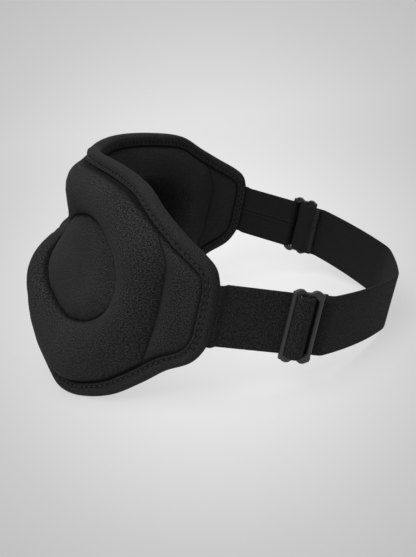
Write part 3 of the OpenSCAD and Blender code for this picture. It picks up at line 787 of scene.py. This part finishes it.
def bindingPiece():
    section = tapeSection()
    run = loopRun(outline)
    puckers = np.array([noise.noise(Vector((math.cos(t) * 9, math.sin(t) * 9, 3.7)))
                        for t in np.linspace(0, math.tau, len(run), endpoint=False)])
    ripple = np.sin(run * math.tau / (tape["stitch"] + tape["stitchGap"]))
    ripple = 1 + tape["pucker"] * puckers + tape["ripple"] * ripple
    points, cloth, shade = [], [], []
    for q, d in section:
        at = insetLoop(q)
        bulge = np.where(abs(d) > bodyHalf + 0.5, ripple, 1.0)
        dip = math.exp(-((q - layers["tapeW"] + tape["rowIn"]) / 0.3) ** 2) * (abs(d) > bodyHalf + 0.4)
        bulge = bulge * (1 - tape["rowDip"] * dip * endPart(at))
        # painted shade along the tape's sewn groove and its inner edge, and in the stitched dip at the wing's end
        groove = math.exp(-((q - layers["tapeW"] + tape["seamIn"]) / 0.35) ** 2)
        lip = math.exp(-((q - layers["tapeW"]) / 0.16) ** 2)
        deep = max(tape["seamShade"] * groove, tape["lipShade"] * lip)
        shade.append(np.maximum(deep, tape["seamShade"] * dip * endPart(at)))
        points.append(onSheet(at[:, 0], at[:, 1], d * bulge, sideOf(at[:, 0])))
        cloth.append(np.stack([run, np.full_like(run, q + (d if q < 3 else 0)), 0 * run], 1) * 0.001)
    points = np.stack(points, 1).reshape(-1, 3)
    cloth = np.stack(cloth, 1).reshape(-1, 3)
    faces = gridFaces(len(run), len(section), closeRows=True, closeCols=True)
    return makePiece("edgeBinding", points, faces, coverKnit, cloth, np.stack(shade, 1))


binding = bindingPiece()


def threadMesh(name, strands, radius, finish):
    points, faces = [], []
    sides = tape["sides"]
    ring = np.linspace(0, math.tau, sides, endpoint=False)
    for line in strands:
        count = len(line)
        ahead = np.gradient(line, axis=0)
        ahead /= np.linalg.norm(ahead, axis=1)[:, None] + 1e-12
        side = np.cross(ahead, [0.13, 0.21, 0.97])
        side /= np.linalg.norm(side, axis=1)[:, None] + 1e-12
        up = np.cross(side, ahead)
        taper = np.clip(np.sqrt(1 - (2 * np.linspace(0.04, 0.96, count) - 1) ** 4) * 1.05, 0.35, 1)
        base = sum(len(p) for p in points)
        tube = line[:, None] + radius * taper[:, None, None] * (
            np.cos(ring)[None, :, None] * side[:, None] + np.sin(ring)[None, :, None] * up[:, None])
        points.append(tube.reshape(-1, 3))
        faces += [tuple(q) for q in gridFaces(count, sides, closeCols=True, start=base)]
        faces.append(tuple(base + k for k in range(sides)))
        faces.append(tuple(base + (count - 1) * sides + k for k in reversed(range(sides))))
    return makePiece(name, np.vstack(points), faces, finish)


def loopStitches(face, inFrom, height, ends=False):
    at = insetLoop(layers["tapeW"] - inFrom)
    run = loopRun(at)
    total = run[-1] + np.linalg.norm(at[0] - at[-1])
    count = int(total / (tape["stitch"] + tape["stitchGap"]))
    strands = []
    shut = np.vstack([at, at[:1]])
    runShut = np.append(run, total)
    for k in range(count):
        u = (k + np.linspace(0, tape["stitch"] / (tape["stitch"] + tape["stitchGap"]), 5)) * total / count
        s, z = np.interp(u, runShut, shut[:, 0]), np.interp(u, runShut, shut[:, 1])
        if ends and endPart(np.array([[s[2], z[2]]]))[0] < 0.6:
            continue
        arch = np.array([-0.2, 0.04, 0.1, 0.04, -0.2])
        strands.append(onSheet(s, z, face * (height + arch), sideOf(s)))
    return strands


rowHeight = 0.8 * tapeRoll
stitches = threadMesh("edgeStitches", [
    strand for face in (1, -1) for strand in
    loopStitches(face, tape["seamIn"], bodyHalf + tape["seamH"] + 0.1)
    + loopStitches(face, tape["rowIn"], rowHeight + 0.1, ends=True)], tape["thread"] * 0.001, seamThread)
print("bound edge made")


# band
def trace(s, d, heading, steps, fine=0.6):  # points along a run of (length, turn) steps
    out = []
    for length, turn in steps:
        count = max(1, math.ceil(abs(length) / fine), math.ceil(abs(turn) / 7))
        for k in range(count):
            x, y, h = arcEnd(s, d, heading, length * k / count, turn * k / count)
            out.append((x, y, h))
        s, d, heading = arcEnd(s, d, heading, length, turn)
    out.append((s, d, heading))
    return np.array(out)


def arcStep(r, turn):
    return r * math.radians(abs(turn)), turn


def degAsin(x):
    return math.degrees(math.asin(x))


threadTurn = degAsin((underR + overR) / barPitch)
wrapTurn = degAsin((mainR + wrapR) / barPitch)
tailTurn = degAsin((tailR - wrapR) / barPitch)


def bandSection(doubled, count=18):
    w, t, r = band["width"] / 2, band["thick"] / 2, band["edgeR"]
    edge = [(w - r + r * math.cos(a), t * 0.92 * math.sin(a)) for a in np.linspace(-1.2, 1.2, 5)]
    upper = [(z, t * (1 - 0.10 * (1 - abs(z / w)) ** 0.5)) for z in np.linspace(w - 0.9, -w + 0.9, count)]
    other = [(-z, -d) for z, d in edge]
    lower = [(-z, -d) for z, d in upper]
    if doubled:  # the doubled part's two edges meet along the middle of the inner face
        lip = [(1.35, 0.02), (1.05, 0.24), (0.7, 0.26), (0.45, 0.1), (0.15, -0.12)]
        seam = [(-z, -t * 0.9 - d) for z, d in lip] + [(z, -t * 0.9 - d) for z, d in lip[::-1]]
        lower = [p for p in lower if p[0] < -1.6] + seam + [p for p in lower if p[0] > 1.6]
    return np.array(edge + upper + other + lower)


def bandPiece(name, path, side, finish, doubled=False):
    section = bandSection(doubled)
    run = np.concatenate([[0], np.cumsum(np.hypot(np.diff(path[:, 0]), np.diff(path[:, 1])))])
    h = np.radians(path[:, 2])
    points, cloth, shade = [], [], []
    inner = 1 if path[0, 2] > 90 else -1      # the face of the section that lies against the head
    tail = path[:, 2] > 270                   # the end that is turned in round the slider
    for z, t in section:
        s, d = path[:, 0] - np.sin(h) * t, path[:, 1] + np.cos(h) * t
        # painted shade: darker along the doubled band's seam, on the face against the head and on the turned-in
        # end, where less light falls
        gap = band["seamShade"] if doubled and abs(z) < 0.3 and t < 0 else 0
        shade.append(np.maximum(gap, band["innerShade"] * ((t * inner > 0) | tail)))
        points.append(toFrame(onPlan(s, np.full_like(s, z), d, side)))
        cloth.append(np.stack([side * run, np.full_like(run, z), np.full_like(run, t)], 1) * 0.001)
    count = len(section)
    faces = [tuple(q) for q in gridFaces(len(path), count, closeCols=True)]
    faces.append(tuple(range(count)))
    faces.append(tuple((len(path) - 1) * count + k for k in reversed(range(count))))
    if side < 0:
        faces = [f[::-1] for f in faces]
    points, cloth = np.stack(points, 1).reshape(-1, 3), np.stack(cloth, 1).reshape(-1, 3)
    return makePiece(name, points, faces, finish, cloth, np.stack(shade, 1))


def templePath():
    start, entry = halfLen - band["tuckIn"], band["tuckRun"]      # the end runs in between the tape's folds
    sink = math.degrees(2 * math.atan2(-bandD - band["tuckD"], entry))
    r = entry / math.sin(math.radians(sink))
    straight = sliderAt - barPitch - start - 2 * r * math.sin(math.radians(sink) / 2)
    return trace(start, -band["tuckD"], 0, [
        (r * math.radians(sink) / 2, -sink), (r * math.radians(sink) / 2, sink), (straight, 0),
        arcStep(underR, threadTurn),
        (barPitch * math.cos(math.radians(threadTurn)), 0), arcStep(overR, -2 * threadTurn),
        (barPitch * math.cos(math.radians(threadTurn)), 0), arcStep(underR, threadTurn), (barR * 0.6, 0)])


def backPath():
    return trace(bandEnd, backD, 180, [
        (bandEnd - sliderAt - barPitch, 0), arcStep(mainR, -wrapTurn),
        (barPitch * math.cos(math.radians(wrapTurn)), 0), arcStep(wrapR, 180 + wrapTurn - tailTurn),
        (barPitch * math.cos(math.radians(tailTurn)), 0), arcStep(tailR, tailTurn),
        (barR + band["tailLen"], 0)])


def spotOn(s, d, side):
    return tuple(toFrame(onPlan(np.array([s]), np.array([0.0]), np.array([d]), side))[0])


serge = {"pitch": 0.95, "reach": 1.9, "lift": 0.12, "thread": 0.2}


def sergedEnd(name, path, side):
    s, d, heading = path[-1]
    h = math.radians(heading)
    t = band["thick"] / 2 + serge["lift"]
    strands = []
    count = int((band["width"] - 0.8) / serge["pitch"])
    for k in range(count):
        wander = 0.16 * noise.noise(Vector((k * 1.7, side * 3.1, 0.4)))
        z0 = (k - (count - 1) / 2) * serge["pitch"]
        line = [(-serge["reach"], t, -0.45), (-0.7, t + 0.08, -0.2), (0.2 + wander, t * 0.8, 0),
                (0.4 + wander, 0, 0.1), (0.2 + wander, -t * 0.8, 0.2), (-0.7, -t - 0.08, 0.35),
                (-serge["reach"], -t, 0.55)]
        line = np.array([(s + a * math.cos(h) - u * math.sin(h), z0 + w * serge["pitch"],
                          d + a * math.sin(h) + u * math.cos(h)) for a, u, w in line])
        strands.append(toFrame(onPlan(line[:, 0], line[:, 1], line[:, 2], side)))
    return threadMesh(name, strands, serge["thread"] * 0.001, sergeThread)


# slider
def sliderPiece(name, side):
    verts, faces = [], []

    def addPrism(loop, low, high):
        base, count = len(verts), len(loop)
        verts.extend([(u, low, v) for u, v in loop] + [(u, high, v) for u, v in loop])
        faces.append(tuple(base + k for k in range(count)))
        faces.append(tuple(base + count + k for k in reversed(range(count))))
        for k in range(count):
            ahead = (k + 1) % count
            faces.append((base + k, base + count + k, base + count + ahead, base + ahead))

    for u in (-barPitch, 0, barPitch):
        base, around = len(verts), 28
        ring = [(u + barR * math.cos(a), barR * math.sin(a))
                for a in np.linspace(0, math.tau, around, endpoint=False)]
        for v in (-sliderH / 2 + slider["barTuck"], sliderH / 2 - slider["barTuck"]):
            verts.extend([(x, y, v) for x, y in ring])
        faces.append(tuple(base + k for k in reversed(range(around))))
        faces.append(tuple(base + around + k for k in range(around)))
        for k in range(around):
            ahead = (k + 1) % around
            faces.append((base + k, base + ahead, base + around + ahead, base + around + k))
    earU, r = sliderW / 2 - slider["earR"], slider["earR"]
    for end in (-1, 1):
        top, inner, web = sliderH / 2, slotH / 2, slider["web"]
        for edge in (-1, 1):
            near, lap = sliderW / 2 - slider["barT"] + 0.2, inner + 0.3
            fillet = [(near, lap), (near, inner - web), (near - web, inner), (near - web, lap)]
            fillet = [(edge * u, end * v) for u, v in fillet][::-edge * end]
            addPrism(fillet, -slider["webT"] / 2, slider["webT"] / 2)
        loop = [(sliderW / 2, inner)]
        loop += [(earU + r * math.cos(a), top - r + r * math.sin(a)) for a in np.linspace(0.1, 1.9, 12)]
        loop += [(0.9, top - slider["notchD"]), (-0.9, top - slider["notchD"])]
        loop += [(-u, v) for u, v in loop[-3:0:-1]]
        loop += [(-sliderW / 2, inner)]
        loop = [(u, end * v) for u, v in loop][::end]
        addPrism(loop, -slider["endT"] / 2, slider["endT"] / 2)
    heading = float(planAt(np.array([sliderAt]))[2][0])
    centre = onPlan(np.array([sliderAt]), np.array([0.0]), np.array([barD]))[0]
    mesh = bpy.data.meshes.new(name)
    mesh.from_pydata(verts, [], faces)
    piece = bpy.data.objects.new(name, mesh)
    bpy.context.scene.collection.objects.link(piece)
    addModifier(piece, "REMESH", mode="VOXEL", voxel_size=slider["voxel"])
    addModifier(piece, "SMOOTH", factor=0.5, iterations=slider["smoothing"])
    applyModifiers(piece)
    made = piece.data
    co = np.zeros(len(made.vertices) * 3)
    made.vertices.foreach_get("co", co)
    co = co.reshape(-1, 3)
    c, k = math.cos(heading), math.sin(heading)
    turned = np.stack([co[:, 0] * c - co[:, 1] * k, co[:, 0] * k + co[:, 1] * c, co[:, 2]], 1) + centre
    turned[:, 0] *= side
    made.vertices.foreach_set("co", toFrame(turned).ravel())
    if side < 0:
        made.flip_normals()
    made.polygons.foreach_set("use_smooth", np.ones(len(made.polygons), bool))
    made.materials.clear()
    made.materials.append(sliderPlastic)
    made.update()
    return piece


for side, label in ((1, "Left"), (-1, "Right")):
    bodyName = "slider_" + label.lower()
    temple = bandPiece("templeStrap" + label, templePath(), side, bandElastic, doubled=True)
    back = bandPiece("backStrap" + label, backPath(), side, bandElastic)
    plastic = sliderPiece("slider" + label, side)
    whip = sergedEnd("sergedEnd" + label, backPath(), side)
    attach(whip, bodyName)
    spotOn(halfLen + 4.6, bandD, side)
    spotOn(sliderAt - sliderW / 2, bandD, side)
    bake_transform(temple)
    spotOn(sliderAt + sliderW / 2 + band["tailLen"] + 2, backD, side)
    spotOn(sliderAt + 68, backD, side)
    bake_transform(back)
    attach(plastic, bodyName)
    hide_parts("temple_strap_" + label.lower())
    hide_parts("strap_loop_" + label.lower(), "back_strap")
    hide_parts("slider_" + label.lower())
print("band and sliders made")

for piece in (cover, lining, binding, stitches):
    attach(piece, "root")
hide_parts("front_cover", "cup_foam_left", "cup_foam_right")
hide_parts("face_lining")
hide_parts("edge_binding")

# the CAD nodes stay hidden, and carry the same finishes
finishOf = {"cover_knit": coverKnit, "lining_knit": liningKnit, "foam": ringFoam, "binding_tape": coverKnit,
            "band_elastic": bandElastic, "slider_plastic": sliderPlastic}
for part in frame["record"]["subparts"]:
    node = frame["nodes"][part["node"]]
    node.data.materials.clear()
    node.data.materials.append(finishOf[part["material_slot"]])

# floor, light and camera
studio = {
    "eye": (397.7, 72.8, 118.2), "right": (-0.0942, 0.9766, 0.1939), "up": (-0.3044, -0.2137, 0.9284),
    "back": (0.9479, 0.0281, 0.3173), "lens": 58.5, "sensor": 36, "clip": 0.01,
    "fill": 0.27, "floorR": 30, "floorGlow": 0.78, "floorFade": (0.25, 0.9), "paper": (0.93, 0.93, 0.93),
    "glow": ((0.0, 0.93), (0.1, 0.885), (0.157, 0.791), (0.2175, 0.701), (0.288, 0.604), (0.359, 0.539),
             (0.6, 0.5)),
}
camera = bpy.data.objects.new("camera", bpy.data.cameras.new("camera"))
bpy.context.scene.collection.objects.link(camera)
eye = toFrame(np.array([studio["eye"]]))[0]
cameraAxes = layBack(np.array([studio["right"], studio["up"], studio["back"]]))
camera.matrix_world = Matrix.Translation(Vector(eye)) @ Matrix(cameraAxes.T.tolist()).to_4x4()
camera.data.lens = studio["lens"]
camera.data.sensor_width = studio["sensor"]
camera.data.clip_start = studio["clip"]
bpy.context.scene.camera = camera


# the backdrop and the floor carry a painted glow, brightest along one fixed line through the studio and falling
# off round it
def glowAt(look, away):
    line = tuple(-cameraAxes[2])
    dot = look.node("ShaderNodeVectorMath", {"operation": "DOT_PRODUCT"}, (away, line), out=1)
    length = look.node("ShaderNodeVectorMath", {"operation": "LENGTH"}, (away,), out=1)
    angle = (dot / length).sum("ARCCOSINE", dot / length)
    return look.node("ShaderNodeValToRGB", {"stops": studio["glow"]}, (angle,))


def seenFactor(look):
    seen = [look.node("ShaderNodeLightPath", {}, out=k) for k in (0, 3, 6)]
    return look.node("ShaderNodeClamp", {}, (seen[0] + seen[1] + seen[2], 0.0, 1.0))


world = bpy.data.worlds.new("studioWorld")
bpy.context.scene.world = world
sky = Look(world=world)
away = sky.node("ShaderNodeTexCoord", {}, out=0)
plain = sky.node("ShaderNodeBackground", {}, {"Color": (1.0, 1.0, 1.0, 1), "Strength": studio["fill"]})
shown = sky.node("ShaderNodeBackground", {}, {"Color": glowAt(sky, away), "Strength": 1.0})
mixed = sky.node("ShaderNodeMixShader", {}, (seenFactor(sky), plain, shown))
sky.node("ShaderNodeOutputWorld", {}, {"Surface": mixed})

floorMesh = bpy.data.meshes.new("floor")
around = np.linspace(0, math.tau, 96, endpoint=False)
floorMesh.from_pydata([(studio["floorR"] * math.cos(a), studio["floorR"] * math.sin(a), 0) for a in around],
                      [], [tuple(range(len(around)))])
floor = bpy.data.objects.new("floor", floorMesh)
bpy.context.scene.collection.objects.link(floor)
ground = Look("floorPaper")
place = ground.node("ShaderNodeNewGeometry", {}, out=0)
away = ground.node("ShaderNodeVectorMath", {"operation": "SUBTRACT"}, (place, tuple(eye)))
shade = glowAt(ground, away)
paper = ground.mixColour(1.0, shade, studio["paper"], "MULTIPLY")
matt = ground.node("ShaderNodeBsdfDiffuse", {}, {"Color": paper})
# the floor shows mostly painted glow as emission, with some lit paper under it, so the object's shadow stays faint
lit = ground.node("ShaderNodeEmission", {}, {"Color": shade, "Strength": 1.0})
far = ground.node("ShaderNodeVectorMath", {"operation": "LENGTH"}, (place,), out=1)
fade = ground.node("ShaderNodeMapRange", {"interpolation_type": "SMOOTHSTEP"},
                   (far, *studio["floorFade"], studio["floorGlow"], 1.0))
mixed = ground.node("ShaderNodeMixShader", {}, (seenFactor(ground) * fade, matt, lit))
ground.node("ShaderNodeOutputMaterial", {}, {"Surface": mixed})
floorMesh.materials.append(ground.owner)


def areaLamp(name, spot, aim, size, power):
    lamp = bpy.data.objects.new(name, bpy.data.lights.new(name, "AREA"))
    lamp.data.shape = "DISK"
    lamp.data.size = size
    lamp.data.energy = power
    lamp.location = spot
    lamp.rotation_euler = (Vector(aim) - Vector(spot)).to_track_quat("-Z", "Y").to_euler()
    bpy.context.scene.collection.objects.link(lamp)


lamps = {
    "keyLamp": {"spot": (0.85, -0.25, 0.95), "aim": (0, -0.03, 0.05), "size": 0.7, "power": 9},
    "topLamp": {"spot": (0.15, -0.15, 1.25), "aim": (0, 0, 0.05), "size": 0.8, "power": 6},
}
for name, lamp in lamps.items():
    areaLamp(name, **lamp)
print("stage made")

bpy.context.scene.view_settings.view_transform = "Standard"
